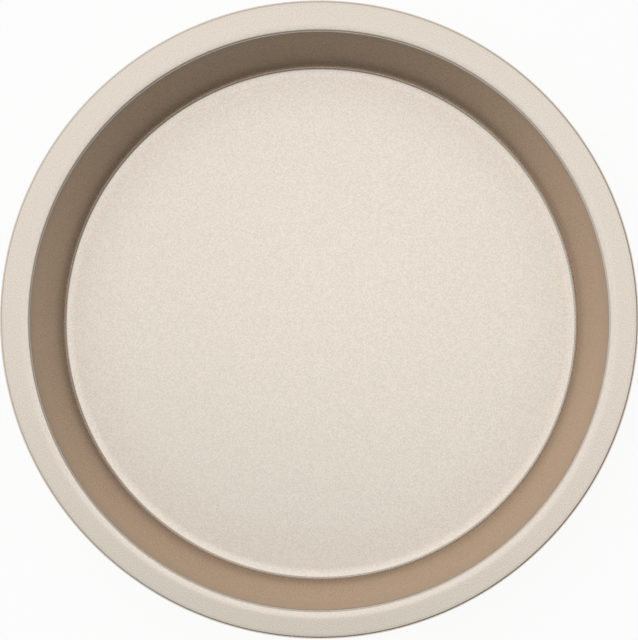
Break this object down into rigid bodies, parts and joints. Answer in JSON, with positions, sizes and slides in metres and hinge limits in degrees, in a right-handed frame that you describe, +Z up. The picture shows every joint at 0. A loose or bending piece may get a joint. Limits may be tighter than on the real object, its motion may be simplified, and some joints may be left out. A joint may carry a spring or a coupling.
{
  "type": "sandwich cake tin",
  "caption": "Round shallow cake tin drawn from one sheet, with a flat floor, rounded corner, tapered wall and a wide flat rim with a rolled edge.",
  "frame": {"origin": "centre of the flat underside, on the surface that the tin stands on", "axes": "+Z up along the tin's axis, out of its mouth; the tin is a solid of revolution, so X and Y are free"},
  "size_m": [0.225, 0.225, 0.038],
  "materials": {
    "coated_steel": "satin champagne non-stick coating with a fine grain, on drawn steel sheet"
  },
  "bodies": {
    "root": {"cake_tin": "coated_steel"}
  },
  "joints": []
}
